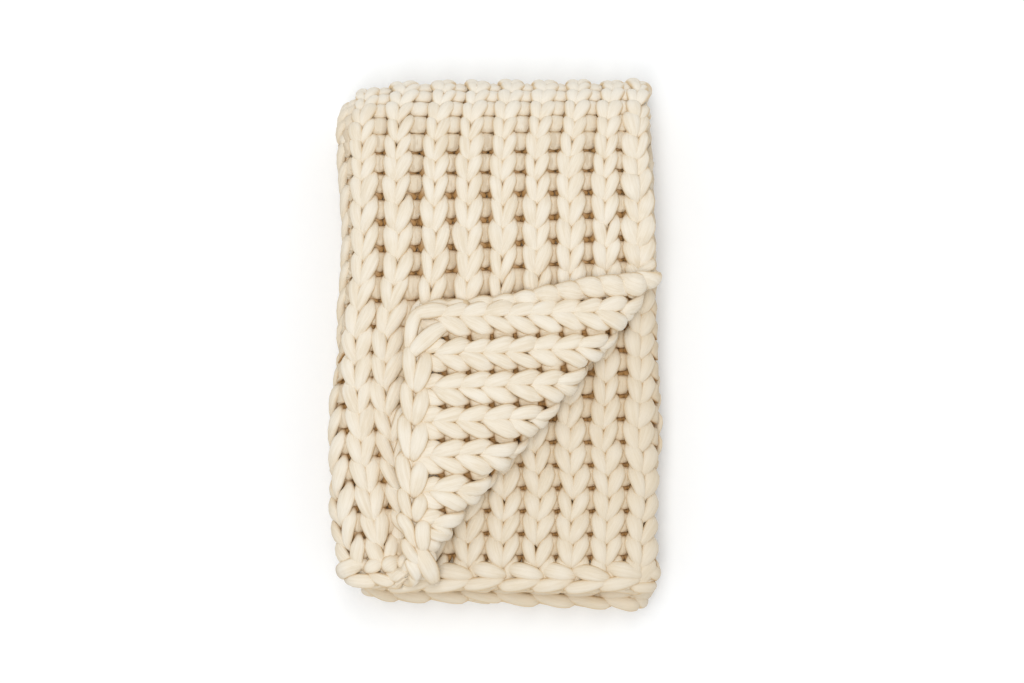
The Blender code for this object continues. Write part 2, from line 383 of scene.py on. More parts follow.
TURNED_SPANS = 1.6            # key points each side of a head where its fibres run round the tube
UNDER_CHAIN = (1.3, 0.6)      # rows from the end where the loops pass under the chain
END_FLATNESS = 0.75           # how much nearer the cloth's middle they lie there
END_THINNESS = 0.35           # and how much thinner they are
THICK_SHARE = 0.5             # yarn that is wider is thicker too, by this share of it
DRIFT_RIBS = 0.05             # how far the slow wandering takes the loops, in ribs
DRIFT_ROWS = 0.09             # and in rows
# The yarn's ends at a selvedge: inwards in ribs, along in rows, out in m, what is left of its size
YARN_END = (0.12, -0.1, -0.002, 0.6)


def loop_keys():
    """Key points of a whole loop on the outer face, from link to link."""
    left = np.array(LEFT_HALF)
    right = left[-2::-1] * [-1, 1, 1, 1, 1]
    keys = np.concatenate([left, right])
    inner = np.arange(1, len(keys) - 1)
    keys[inner, 0] += LEAN_MM * keys[inner, 1]
    return keys


def course_keys(first_rib, end_rib):
    """Key points of one course from one rib to another, each rib an outer and an inner loop."""
    outer = loop_keys()[:-1]
    inner = outer * [1, 1, -1, 1, 1]
    inner[1:, 0] -= 2 * LEAN_MM * inner[1:, 1]
    inner[1:, 1] -= INNER_LAG
    parts = []
    for rib in range(first_rib, end_rib):
        parts.append(outer + [RIB_MM * (rib + 0.5), 0, 0, 0, 0])
        if rib < RIBS - 1:
            parts.append(inner + [RIB_MM * (rib + 1), 0, 0, 0, 0])
    keys = np.concatenate(parts)
    last = outer[0].copy()
    last[0] = keys[-SPANS, 0] + RIB_MM / 2
    return np.concatenate([keys, [last]])


def smooth_line(keys, steps):
    """A smooth curve through key points, with a number of steps from each to the next. Also gives
    each point's place counted in keys."""
    before = keys[:1] * 2 - keys[1:2]
    after = keys[-1:] * 2 - keys[-2:-1]
    padded = np.concatenate([before, keys, after])
    span = np.repeat(np.arange(len(steps)), steps)
    first = np.repeat(np.cumsum(steps) - steps, steps)
    share = ((np.arange(len(span)) - first) / np.array(steps)[span])[:, None]
    p0, p1, p2, p3 = (padded[span + k] for k in range(4))
    cubed = share * (3 * (p1 - p2) + p3 - p0)
    squared = share * (2 * p0 - 5 * p1 + 4 * p2 - p3 + cubed)
    curve = p1 + 0.5 * share * (p2 - p0 + squared)
    return np.concatenate([curve, keys[-1:]]), np.concatenate([span + share[:, 0], [len(steps)]])


def even_line(keys, steps):
    """A smooth curve with the same number of steps between all its key points."""
    return smooth_line(np.array(keys), np.full(len(keys) - 1, steps))[0]


# How unevenly the legs lie, and the whole loops: across in mm, along in rows, out in mm, in width
LEG_SPREADS = (0.6, 0.034, 0.9, 0.10)
LOOP_SPREADS = (1.0, 0.030, 0.5, 0.04)
SPREAD_LIMIT = 1.6
LOOPS = 2 * RIBS
rng = np.random.default_rng(11)


def uneven(count, spreads):
    """Random shifts for a number of legs or loops in every course."""
    drawn = rng.normal(0, 1, (COURSES, count, len(spreads)))
    return np.clip(drawn, -SPREAD_LIMIT, SPREAD_LIMIT) * spreads


SHIFTS = uneven(2 * LOOPS, LEG_SPREADS)
SHIFTS += np.repeat(uneven(LOOPS, LOOP_SPREADS), 2, axis=1)
# Slow waves over the cloth: the least and the most of how fast each runs and where it starts
WAVE_SPANS = ((0.1, 0.5), (0.1, 0.5), (0, 6.28), (0, 6.28))
WAVES = [[rng.uniform(low, high) for low, high in WAVE_SPANS] for _ in range(6)]
WAVE_BEND = 0.7
WAVE_SUM = 3                  # about the most that the six come to together


def drift(ribs, rows):
    """Slow wandering of the ribs and rows over the cloth, each about -1 to 1."""
    across = sum(np.sin(a * rows + c + WAVE_BEND * np.sin(b * ribs)) for a, b, c, d in WAVES)
    along = sum(np.sin(b * ribs + d + WAVE_BEND * np.sin(a * rows)) for a, b, c, d in WAVES)
    return across / WAVE_SUM, along / WAVE_SUM


# Yarn counts as up to this much nearer the face where more light gets in between the loops: along
# the first selvedge, at the cloth's ends, and half as much along the left fold
EDGE_LIGHT = 0.008
LIT_SELVEDGE = (0.7, 0.2)
LIT_END = (1.6, 0.6)
LIT_FOLD_SHARE = 0.5
LIT_FOLD_RIBS = (8.6, 9.1, 9.1, 9.6)
LIT_FOLD_ROWS = (10, 10, 27, 27)
FIBRE_START = 9               # each line's fibres start at another place, up to this far on


def rows_from_end(rows):
    """Rows to the nearer one of the cloth's two ends."""
    return np.minimum(rows, ROWS - rows)


def edge_light(ribs, rows):
    """How much light gets in at the edges of the cloth, in shares of EDGE_LIGHT."""
    fold = LIT_FOLD_SHARE * within(ribs, LIT_FOLD_RIBS) * within(rows, LIT_FOLD_ROWS)
    return ramp(ribs, *LIT_SELVEDGE) + ramp(rows_from_end(rows), *LIT_END) + fold


def sweep(ribs, rows, out, half_width, half_thick, sides, turned=None):
    """Tubes round lines of yarn on the cloth. Arrays are lines by points; the rings follow the
    cloth. Where turned is true the fibres run round the tube instead of along it. Gives the rings,
    and at each place the yarn's own directions, how far it lies from the cloth's middle, and how
    squarely it faces out of the cloth or up."""
    middle, normal = cloth_place(ribs, rows)
    centre = middle + normal * out[..., None]
    tangent = unit(np.gradient(centre, axis=1))
    side = unit(np.cross(normal, tangent))
    thick = np.cross(tangent, side)
    turn = np.linspace(0, 2 * math.pi, sides, endpoint=False)
    wide = np.cos(turn) * half_width[..., None]
    tall = np.sin(turn) * half_thick[..., None]
    sideways, upwards = side[:, :, None], thick[:, :, None]
    rings = centre[:, :, None] + sideways * wide[..., None] + upwards * tall[..., None]
    rings[..., 2] = np.maximum(rings[..., 2], 0)
    steps = np.linalg.norm(np.diff(centre, axis=1), axis=-1)
    length = np.cumsum(np.pad(steps, ((0, 0), (1, 0))), axis=1)
    length = length + rng.uniform(0, FIBRE_START, (len(centre), 1))
    yarn = np.stack([wide, tall, np.broadcast_to(length[..., None], wide.shape)], axis=-1)
    if turned is not None:
        yarn = np.where(turned[:, None, None], yarn[..., ::-1], yarn)
    # How deep the yarn lies and how squarely it faces out or up: the material paints shade by these
    depth = np.abs(out[..., None] + tall * np.sum(thick * normal, axis=-1)[..., None])
    depth = depth + EDGE_LIGHT * edge_light(ribs, rows)[..., None]
    bulge = sideways * (np.cos(turn) / half_width[..., None])[..., None]
    outward = unit(bulge + upwards * (np.sin(turn) / half_thick[..., None])[..., None])
    facing = np.abs(np.sum(outward * normal[:, :, None], axis=-1))
    return rings, yarn, depth, np.maximum(facing, outward[..., 2])


def tube_mesh(name, sweeps, material):
    """One mesh from rings: lines by points by sides, capped at both ends of each line."""
    verts, yarns, depths, facings, quads, caps = [], [], [], [], [], []
    start = 0
    for rings, yarn, depth, facing in sweeps:
        lines, points, sides, _ = rings.shape
        base = start + np.arange(lines)[:, None, None] * points * sides
        ring = np.arange(points - 1)[None, :, None] * sides
        step = np.arange(sides)[None, None, :]
        ahead = (step + 1) % sides
        low = base + ring
        high = low + sides
        corners = np.stack([low + step, low + ahead, high + ahead, high + step], axis=-1)
        quads.append(corners.reshape(-1, 4))
        first = base[:, 0] + np.arange(sides)[None, ::-1]
        last = base[:, 0] + (points - 1) * sides + np.arange(sides)[None, :]
        caps.extend(first.tolist() + last.tolist())
        verts.append(rings.reshape(-1, 3))
        yarns.append(yarn.ravel())
        depths.append(depth.ravel())
        facings.append(facing.ravel())
        start += rings.size // 3
    mesh = bpy.data.meshes.new(name)
    mesh.from_pydata(np.concatenate(verts).tolist(), [], np.concatenate(quads).tolist() + caps)
    for attribute, kind, key, values in (
            ("yarn", "FLOAT_VECTOR", "vector", yarns),
            ("depth", "FLOAT", "value", depths),
            ("facing", "FLOAT", "value", facings)):
        made = mesh.attributes.new(attribute, kind, "POINT")
        made.data.foreach_set(key, np.concatenate(values))
    mesh.shade_smooth()
    mesh.materials.append(material)
    piece = bpy.data.objects.new(name, mesh)
    bpy.context.scene.collection.objects.link(piece)
    return piece


def fullest(table, ribs, rows):
    """The most that any row of a table of fullness gives at a place of the cloth."""
    return np.max([
        amount * within(ribs, rib_span) * within(rows, row_span)
        for amount, rib_span, row_span in table
    ], axis=0)


def fullness(ribs, rows, is_inner):
    """How much fuller the loops are than usual at a place of the cloth."""
    far = FAR_SLIMNESS * within(ribs, FAR_SLIM_RIBS) * within(rows, FAR_SLIM_ROWS)
    outer = fullest(OUTER_FULLNESS, ribs, rows) - far
    return is_inner * fullest(INNER_FULLNESS, ribs, rows) + (1 - is_inner) * outer


def far_lean(ribs, rows):
    """How far the top layer's ribs lean over to the right down the far turn, in ribs."""
    start, whole, falling, end = FAR_LEAN_ROWS
    down = ramp(rows, start, whole) ** FAR_LEAN_POWER * ramp(rows, end, falling)
    return FAR_LEAN * down * within(ribs, FAR_LEAN_RIBS)


def draw_in(ribs, rows):
    """How far the first rib draws in to round the corner of the far turn, in mm."""
    rounding = 1 - np.sqrt(1 - ROUNDNESS * ramp(ribs, ROUNDED_RIBS, 0) ** 2)
    return CORNER_ROUNDING_MM * within(rows, ROUNDED_ROWS) * rounding


def knit(first_rib, end_rib, first_course, end_course, steps, sides):
    """Courses of loops over part of the cloth."""
    keys = course_keys(first_rib, end_rib)
    loop_steps = np.array(HALF_STEPS + HALF_STEPS[::-1]) if steps == 2 else np.ones(SPANS, int)
    line, span = smooth_line(keys, np.tile(loop_steps, (len(keys) - 1) // SPANS))
    loop = np.minimum((span // SPANS).astype(int), int((len(keys) - 2) // SPANS))
    is_inner = loop % 2
    share = span / SPANS - loop
    leg = np.minimum((share * 2).astype(int), 1)
    window = np.sin(math.pi * np.clip(share, 0, 1)) ** 2
    leg_window = np.sin(math.pi * np.clip(2 * share - leg, 0, 1)) ** 2
    courses = np.arange(first_course, end_course)
    shift = SHIFTS[courses][:, 2 * (loop + 2 * first_rib) + leg] * leg_window[None, :, None]
    middle = RIB_MM * (first_rib + 0.5 + 0.5 * loop)
    ribs = np.broadcast_to(line[:, 0] / RIB_MM, (len(courses), len(line)))
    rows = FIRST_COURSE + courses[:, None] + line[:, 1]

    # places across and along the cloth
    at_side = within(ribs, EDGE_RIBS) * within(rows, EDGE_ROWS)
    shift = shift * (1 + EDGE_UNEVENNESS * at_side)[..., None]
    inner_leg = at_side * (line[:, 0] > middle) * (1 - is_inner)
    full = (fullness(ribs, rows, is_inner) + EDGE_FULLNESS * inner_leg) * window
    slow_across, slow_along = drift(ribs, rows)
    moved = (shift[..., 0] + full * (line[:, 0] - middle)) / RIB_MM
    ribs = ribs + moved + DRIFT_RIBS * slow_across
    if first_rib == 0:
        ribs = ribs - TOP_SHIFT * within(ribs, TOP_SHIFT_RIBS) * ramp(rows, *TOP_SHIFT_ROWS)
    ribs = ribs - far_lean(ribs, rows)
    rows = rows + shift[..., 1] + DRIFT_ROWS * slow_along
    rows = np.clip(rows, HEM_INSET, ROWS - HEM_INSET)
    on_top = is_inner * (ribs < TOP_RIBS)

    # height out of the cloth, half width and half thickness
    lift = HEAD_LIFT_MM * on_top * within(share, HEAD_SHARES) * within(rows, HEAD_ROWS)
    out = (line[:, 2] + shift[..., 2] + lift - draw_in(ribs, rows)) * MM
    at_turn = is_inner * within(ribs, TURN_RIBS) * (rows < TURN_ROWS_END) * window
    ribs = ribs - TURN_SHIFT * at_turn * ramp(ribs, *TURN_SHIFT_RIBS)
    wider = 1 + shift[..., 3] + WIDTH_SHARE * full + TURN_FULLNESS * at_turn
    half_width = line[:, 3] * wider * MM
    half_thick = line[:, 4] * (1 + THICK_SHARE * shift[..., 3]) * MM
    under_chain = ramp(rows_from_end(rows), *UNDER_CHAIN)
    out = out * (1 - END_FLATNESS * under_chain)
    half_thick = half_thick * (1 - END_THINNESS * under_chain)
    turned = np.abs(share - 0.5) < TURNED_SPANS / SPANS
    growth = turned * on_top * ramp(ribs, *GROWTH_RIBS) * ramp(rows, *GROWTH_ROWS)
    half_width = half_width * (1 + BARREL_GROWTH * growth)

    inwards, along, sunk, left_over = YARN_END
    for end, at_selvedge, way in ((0, first_rib == 0, 1), (-1, end_rib == RIBS, -1)):
        if at_selvedge:
            ribs[:, end] += inwards * way
            rows[:, end] += along
            out[:, end] += sunk
            half_width[:, end] *= left_over
            half_thick[:, end] *= left_over
    return sweep(ribs, rows, out, half_width, half_thick, sides, turned)


# The chain along both ends of the cloth: on each face, links like loops laid on their side, one a
# rib. Columns: along the end in ribs, across the chain in mm, out in mm, half width and thickness
LINK_HALF = (
    (0.56, 2.5, -1.0, 5.0, 5.0),
    (0.44, 3.6, 7.0, 6.4, 5.6),
    (0.12, 7.2, 11.0, 9.4, 6.8),
    (-0.24, 10.4, 10.5, 9.8, 7.0),
    (-0.50, 10.6, 4.0, 7.8, 6.2),
    (-0.52, 0.0, -2.0, 7.0, 6.0),
)
CORNER_LINKS = (2.45, 3.5, 4.5, 5.5, 6.4, 7.0, 7.4, 7.75, 8.1, 8.6, 9.4)
NEAR_LINKS = CORNER_LINKS + tuple(rib + 0.5 for rib in range(10, RIBS))
FAR_LINKS = tuple(rib + 0.5 for rib in range(RIBS))
OUTER_LINKS_FROM = 7.4        # ribs: up to here the near end has links on its inner face only
OUTER_LINK_SHIFT = 0.2        # of a link: how much further on the outer face's links lie
LINK_STAGGER = 0.011          # one leg of a link leads the other by this much, ribs a mm
# how unevenly the links lie: along in ribs, across in rows, out in mm, in width
LINK_SPREADS = (0.04, 0.04, 0.8, 0.06)
NEAR_CHAIN_START = 0.86       # ribs: where the chain starts at the near end
FAR_CHAIN_START = 0.05        # and at the far one
CHAIN_END = RIBS - 0.1
CHAIN_MIDDLE = 0.66           # rows from the cloth's end to the chain's middle
CHAIN_DRIFT = 0.05
CHAIN_LEAN = 0.09             # how much fuller its petals on the cloth's side are
CHAIN_LEAN_MM = 7
CORNER_HEM_LIFT = 0.28        # rows: how much further out the laid-back corner's hem lies
CORNER_HEM_RIBS = (7.5, 6.5)
TURN_FLATNESS = 0.35          # how much flatter the chain lies round the cloth's right turn
TURN_FLAT_RIBS = (17.0, 18.0, 19.2, 20.2)
TURN_BULGE = 0.50             # and how much further out at the upper half's left turn
TURN_BULGE_RIBS = (9.0, 9.7, 9.7, 10.4)
LINK_END = 0.4                # what is left of the yarn's size at a link's ends
# the chain counts as nearer the face than it lies, so that it gets less painted shade: by this
# much, plus this share of its depth
CHAIN_DEPTH = (0.0045, 0.62)
# The strand hidden inside each end's chain: row of its middle, half width and half thickness in mm
HEM_CORE = (0.52, 8.0, 7.0)
NEAR_CORE_START = 0.9         # ribs
FAR_CORE_START = 0.3
CORE_END = RIBS - 0.4
CORE_SWAY = 0.05              # rows
CORE_SWELL = 0.1              # of its size


def corner_hem_lift(ribs, far_end):
    """How much further out the chain lies along the laid-back corner, in rows."""
    return CORNER_HEM_LIFT * ramp(ribs, *CORNER_HEM_RIBS) * (not far_end)


def chain(far_end, face, steps, sides):
    """The links along one end of the cloth, on its outer face (1) or its inner face (-1)."""
    half = np.array(LINK_HALF)
    line = even_line(np.concatenate([half, half[-2::-1] * [1, -1, 1, 1, 1]]), steps)
    places = np.array(FAR_LINKS if far_end else NEAR_LINKS)
    lengths = np.gradient(places)[:, None]
    near_outer = face > 0 and not far_end
    if near_outer:
        kept = places > OUTER_LINKS_FROM
        places, lengths = places[kept], lengths[kept]
    seed = 5 + 2 * far_end + face
    drawn = np.random.default_rng(seed).normal(0, 1, (len(places), 4, 1))
    along, across, outwards, width = (drawn[:, k] * LINK_SPREADS[k] for k in range(4))
    ribs = places[:, None] + lengths * (line[:, 0] + along + OUTER_LINK_SHIFT * (face > 0))
    chain_start = FAR_CHAIN_START if far_end else NEAR_CHAIN_START
    ribs = np.clip(ribs + LINK_STAGGER * line[:, 1], chain_start, CHAIN_END)
    rows = CHAIN_MIDDLE + line[:, 1] / ROW_MM + across - corner_hem_lift(ribs, far_end)
    _, slow_along = drift(ribs, rows)
    rows = rows + CHAIN_DRIFT * slow_along
    rows = ROWS - rows if far_end else rows
    fuller = CHAIN_LEAN * np.clip(line[:, 1] / CHAIN_LEAN_MM, -1, 1)
    height = 1 - TURN_FLATNESS * within(ribs, TURN_FLAT_RIBS)
    height = height + TURN_BULGE * within(ribs, TURN_BULGE_RIBS) * near_outer
    out = face * (line[:, 2] * (1 + fuller) * height + outwards) * MM
    half_width = line[:, 3] * (1 + fuller + width) * MM
    half_thick = np.broadcast_to(line[:, 4] * MM, ribs.shape).copy()
    for end in (0, -1):
        half_width[:, end] *= LINK_END
        half_thick[:, end] *= LINK_END
    rings, yarn, depth, facing = sweep(ribs, rows, out, half_width, half_thick, sides)
    least, share = CHAIN_DEPTH
    return rings, yarn, least + share * depth, facing


def hem_core(far_end, steps, sides):
    """The strand inside the chain along one end of the cloth, that fills it between its faces."""
    core_start = FAR_CORE_START if far_end else NEAR_CORE_START
    ribs = np.linspace(core_start, CORE_END, steps)[None]
    row, wide, thick = HEM_CORE
    rows = row - corner_hem_lift(ribs, far_end) + CORE_SWAY * np.sin(2 * math.pi * ribs)
    rows = ROWS - rows if far_end else rows
    size = (1 + CORE_SWELL * np.sin(4 * math.pi * ribs)) * MM
    return sweep(ribs, rows, np.zeros_like(ribs), wide * size, thick * size, sides)


# The first selvedge's own loops, that show as a rope along the edge of the laid-back corner.
# Columns: across in mm, along in rows, out in mm, half width and half thickness
ROPE_STRAND = (
    (-9.5, -0.88, 0.5, 4.0, 4.0),
    (-7.6, -0.58, 6.8, 6.8, 5.4),
    (-0.8, -0.10, 12.2, 10.9, 7.8),
    (6.0, 0.34, 7.5, 8.4, 6.2),
    (9.5, 0.74, -0.5, 5.5, 4.6),
)
# columns: rows from the hem, where the rope lies in ribs, how far it lies sunk in mm
ROPE_PLACE = (
    (1.0, 0.30, 12.0),
    (3.0, 0.26, 10.4),
    (5.0, 0.20, 5.6),
    (8.0, 0.17, 0.0),
    (11.0, 0.15, 0.0),
)
ROPE_STRANDS = 11
ROPE_FIRST_ROW = 1.2
ROPE_GROWTH = 0.30            # how much wider the strands are towards the slanted fold
ROPE_GROWTH_ROWS = (3, 6.5)
# how unevenly the strands lie: along in rows, across in mm, in width
ROPE_SPREADS = (0.05, 1.0, 0.06)
ROPE_DEPTH = 0.005            # the rope and the single strands count as this much nearer the face, for less painted shade

# Single strands. Columns: ribs, rows, out of the back of the cloth in mm, half width, thickness
SINGLE_STRANDS = (
    (   # along the corner's hem and round its tip
        (2.9, 0.42, 0.0, 6.0, 5.0),
        (2.3, 0.22, 2.0, 7.4, 6.0),
        (1.6, 0.02, 5.0, 8.4, 6.2),
        (1.05, 0.06, 10.0, 9.4, 6.8),
        (0.72, 0.30, 9.0, 7.6, 6.0),
        (0.58, 0.62, 3.0, 5.0, 5.0),
    ),
    (   # between the next one and the first of the rope
        (0.92, 0.12, 4.0, 5.0, 5.0),
        (0.76, 0.36, 10.5, 8.8, 6.6),
        (0.66, 0.80, 13.0, 10.4, 7.0),
        (0.66, 1.26, 10.5, 8.8, 6.4),
        (0.74, 1.70, 3.0, 5.0, 5.0),
    ),
    (   # leaning across the square corner
        (1.98, 0.04, 4.0, 6.0, 5.0),
        (1.80, 0.28, 9.5, 9.4, 6.6),
        (1.55, 0.70, 12.5, 11.6, 7.2),
        (1.30, 1.16, 11.0, 10.6, 6.8),
        (1.12, 1.66, 4.0, 6.0, 5.0),
    ),
    (   # across the last hollow of the corner
        (6.98, 0.60, 0.0, 5.0, 5.0),
        (7.04, 1.00, 8.0, 7.0, 6.0),
        (7.08, 1.40, 10.0, 8.6, 6.4),
        (7.06, 1.80, 7.0, 7.6, 6.0),
        (7.00, 2.10, 0.0, 5.0, 5.0),
    ),
    (   # from the corner's tip down to the second layer's hem, on the second layer's own ribs
        (11.62, 2.50, 50.0, 6.0, 5.0),
        (11.74, 2.05, 60.0, 9.5, 7.0),
        (11.88, 1.52, 63.0, 12.2, 7.6),
        (11.99, 1.02, 53.0, 11.8, 7.4),
        (12.06, 0.62, 38.0, 8.0, 6.0),
    ),
    (   # under the outer loops beside the corner's hem
        (7.96, 1.30, 2.0, 7.0, 5.0),
        (7.90, 2.10, -3.0, 10.0, 5.0),
        (7.56, 3.60, -3.5, 8.0, 5.0),
        (7.50, 5.50, -3.5, 8.0, 5.0),
        (7.46, 7.40, -3.0, 7.5, 5.0),
        (7.46, 8.40, 1.0, 6.0, 5.0),
    ),
)


def edge_rope(steps, sides):
    """The rope's strands, one a row, and the single strands at the corner."""
    line = even_line(ROPE_STRAND, steps)
    drawn = np.random.default_rng(23).normal(0, 1, (ROPE_STRANDS, 3, 1))
    along, across, width = (drawn[:, k] * ROPE_SPREADS[k] for k in range(3))
    rows = np.arange(ROPE_STRANDS)[:, None] + ROPE_FIRST_ROW + line[:, 1] + along
    place_rows, place_ribs, sunk = zip(*ROPE_PLACE)
    ribs = np.interp(rows, place_rows, place_ribs) + (line[:, 0] + across) / RIB_MM
    out = (np.interp(rows, place_rows, sunk) - line[:, 2]) * MM
    growth = ROPE_GROWTH * ramp(rows, *ROPE_GROWTH_ROWS)
    half_width = line[:, 3] * (1 + growth + width) * MM
    half_thick = line[:, 4] * (1 + THICK_SHARE * growth) * MM
    sweeps = [sweep(ribs, rows, out, half_width, half_thick, sides)]
    for strand in SINGLE_STRANDS:
        ribs, rows, out, wide, thick = even_line(strand, steps).T[:, None]
        sweeps.append(sweep(ribs, rows, -out * MM, wide * MM, thick * MM, sides))
    return [(rings, yarn, ROPE_DEPTH + depth, facing) for rings, yarn, depth, facing in sweeps]


# ---------------------------------------------------------------- material
CREAM = (0.836, 0.755, 0.622, 1)
CREAM_SHADE = (0.764, 0.666, 0.518, 1)
# Paler patches of the wool, and also painted light along the far edge
CREAM_PATCH_AND_PAINTED_LIGHT = (0.882, 0.834, 0.742, 1)
# Painted shade on the stack's lower layers
CREAM_PAINTED_LOW_SHADE = (0.655, 0.545, 0.390, 1)
# Painted shade on the loops' heads, which lie deeper than their legs
CREAM_HEAD_SHADE = (0.615, 0.510, 0.375, 1)
# Painted shade deep between the loops: tan, and brown where deepest
TAN_SHADE = (0.735, 0.615, 0.450, 1)
# Painted shade on the yarn's flanks, where the loops press together
FLANK_SHADE = (0.740, 0.570, 0.355, 1)
DEEP_SHADE_BROWN = (0.410, 0.228, 0.084, 1)

# Where one colour passes into another: the place where it starts, and where it is whole
TAN_DEPTHS = (0.0020, 0.0080)     # painted shade by depth from the cloth's middle, in m
CREAM_DEPTHS = (0.0040, 0.0104)
CREAM_FACINGS = (0.18, 0.88)      # painted shade on the flanks: 0 is the yarn's flank and 1 its crown
LOW_SHADE_HEIGHTS = (0.122, 0.152)     # Z: painted shade darkens the stack's sides below this
LOW_SHADE_FAR = (0.270, 0.310)         # Y: but not at the far turn
SHADE_SHARE = 0.50                # how much darker the painted shade makes them
PAINTED_LIGHT_FAR = (0.290, 0.330)        # Y: painted light makes the far edge lighter
PAINTED_LIGHT_SHARE = 0.60
CROSS_FAR = (0.250, 0.310)        # Y: and the painted shade on the loops' heads is weaker there
CROSS_FADE = 0.80
# The yarn's third value is below this where its fibres run round the tube, and mostly above it
# where they run along it
CROSS_LENGTHS = (0.014, 0.020)
HEAD_SHADE_LEAST = 0.35                # how much of the heads' painted shade is left between the locks
CROSS_LOCKS = (0.44, 0.58)
STREAKS = (0.38, 0.60)
PATCHES = (0.35, 0.75)
PATCH_SHARE = 0.5                 # how light the light patches are

# Patterns in the yarn: scale and detail
FIBRE_PATTERN = (900.0, 3.0)
LOCK_PATTERN = (260.0, 2.0)
PATCH_PATTERN = (30.0, 1.0)
FIBRE_STRETCH = (1.0, 1.0, 0.06)  # the first two are drawn out along the yarn
FIBRE_ROUGHNESS = 0.6
FIBRE_RELIEF = 0.4                # of the relief is from fibres, and the rest from locks
RELIEF_STRENGTH = 0.8
RELIEF_HEIGHT = 0.0014
WOOL_ROUGHNESS = 0.95
WOOL_SHINE = 0.05


class Socket:
    """Wraps an output socket, so that shader maths is written as expressions."""

    def __init__(self, shader, socket):
        self.shader = shader
        self.socket = socket

    def math(self, operation, *others):
        return self.shader.node("ShaderNodeMath", {"operation": operation}, [self, *others])

    def __add__(self, other):
        return self.math("ADD", other)

    __radd__ = __add__

    def __mul__(self, other):
        return self.math("MULTIPLY", other)

    __rmul__ = __mul__

    def __rsub__(self, other):
        return (self * -1) + other


class Shader:
    """A material's node tree, built one node at a time."""

    def __init__(self, name):
        self.material = bpy.data.materials.new(name)
        self.material.use_nodes = True
        self.tree = self.material.node_tree
        self.principled = self.tree.nodes["Principled BSDF"]

    def node(self, kind, settings=None, inputs=(), output=0):
        made = self.tree.nodes.new(kind)
        for name, value in (settings or {}).items():
            setattr(made, name, value)
        pairs = inputs.items() if isinstance(inputs, dict) else enumerate(inputs)
        for key, value in pairs:
            if isinstance(value, Socket):
                self.tree.links.new(value.socket, made.inputs[key])
            else:
                made.inputs[key].default_value = value
        return Socket(self, made.outputs[output])

    def range(self, value, low, high):
        inputs = {"Value": value, "From Min": low, "From Max": high}
        return self.node("ShaderNodeMapRange", {"interpolation_type": "SMOOTHSTEP"}, inputs)

    def mix(self, factor, first, second):
        inputs = {0: factor, 6: first, 7: second}
        return self.node("ShaderNodeMix", {"data_type": "RGBA"}, inputs, output=2)

    def noise(self, vector, pattern, more=None):
        scale, detail = pattern
        inputs = {"Vector": vector, "Scale": scale, "Detail": detail, **(more or {})}
        return self.node("ShaderNodeTexNoise", {}, inputs)

    def feed(self, name, value):
        self.tree.links.new(value.socket, self.principled.inputs[name])


def wool():
    """Soft unspun wool: cream with fibres along the yarn and paler patches. Painted shade makes it
    tan and brown deep between the loops and darker on the yarn's flanks, the loops' heads and the
    stack's lower layers. Painted light makes the far edge paler.
    """
    shader = Shader("cream_roving")
    shader.principled.inputs["Roughness"].default_value = WOOL_ROUGHNESS
    shader.principled.inputs["Specular IOR Level"].default_value = WOOL_SHINE
    yarn, depth, facing = (
        shader.node("ShaderNodeAttribute", {"attribute_name": name}, output=output)
        for name, output in (("yarn", 1), ("depth", 2), ("facing", 2))
    )
    multiply = {"operation": "MULTIPLY"}
    stretched = shader.node("ShaderNodeVectorMath", multiply, [yarn, FIBRE_STRETCH])
    fibres = shader.noise(stretched, FIBRE_PATTERN, {"Roughness": FIBRE_ROUGHNESS})
    locks = shader.noise(stretched, LOCK_PATTERN)
    patches = shader.noise(yarn, PATCH_PATTERN)
    cream = shader.mix(shader.range(fibres * 0.5 + locks * 0.5, *STREAKS), CREAM_SHADE, CREAM)
    cream = shader.mix(shader.range(patches, *PATCHES) * PATCH_SHARE, cream, CREAM_PATCH_AND_PAINTED_LIGHT)
    position = shader.node("ShaderNodeTexCoord", output=3)
    along = shader.node("ShaderNodeSeparateXYZ", {}, [yarn], output=2)
    far = shader.node("ShaderNodeSeparateXYZ", {}, [position], output=1)
    # Painted shade on the loops' heads, where the fibres run round the tube, streaked by the locks
    # and weaker at the far turn
    head_shade = 1 - shader.range(along, *CROSS_LENGTHS)
    head_shade = head_shade * (1 - CROSS_FADE * shader.range(far, *CROSS_FAR))
    between_locks = HEAD_SHADE_LEAST + (1 - HEAD_SHADE_LEAST) * shader.range(locks, *CROSS_LOCKS)
    cream = shader.mix(head_shade * between_locks, cream, CREAM_HEAD_SHADE)
    # Painted shade on the stack's lower layers, but not at the far turn
    height = shader.node("ShaderNodeSeparateXYZ", {}, [position], output=2)
    unshaded_share = shader.range(height, *LOW_SHADE_HEIGHTS).math("MAXIMUM", shader.range(far, *LOW_SHADE_FAR))
    cream = shader.mix(1 - SHADE_SHARE + SHADE_SHARE * unshaded_share, CREAM_PAINTED_LOW_SHADE, cream)
    # Painted light: the far edge of the stack is made lighter
    cream = shader.mix(PAINTED_LIGHT_SHARE * shader.range(far, *PAINTED_LIGHT_FAR), cream, CREAM_PATCH_AND_PAINTED_LIGHT)
    # Painted shade: brown deep between the loops, tan higher up, cream on top
    tan = shader.mix(shader.range(depth, *TAN_DEPTHS), DEEP_SHADE_BROWN, TAN_SHADE)
    # Painted shade on the yarn's flanks
    cream = shader.mix(shader.range(facing, *CREAM_FACINGS), FLANK_SHADE, cream)
    colour = shader.mix(shader.range(depth, *CREAM_DEPTHS), tan, cream)
    shader.feed("Base Color", colour)
    relief = fibres * FIBRE_RELIEF + locks * (1 - FIBRE_RELIEF)
    inputs = {"Strength": RELIEF_STRENGTH, "Distance": RELIEF_HEIGHT, "Height": relief}
    shader.feed("Normal", shader.node("ShaderNodeBump", {}, inputs))
    return shader.material


# ---------------------------------------------------------------- the pieces
WOOL = wool()
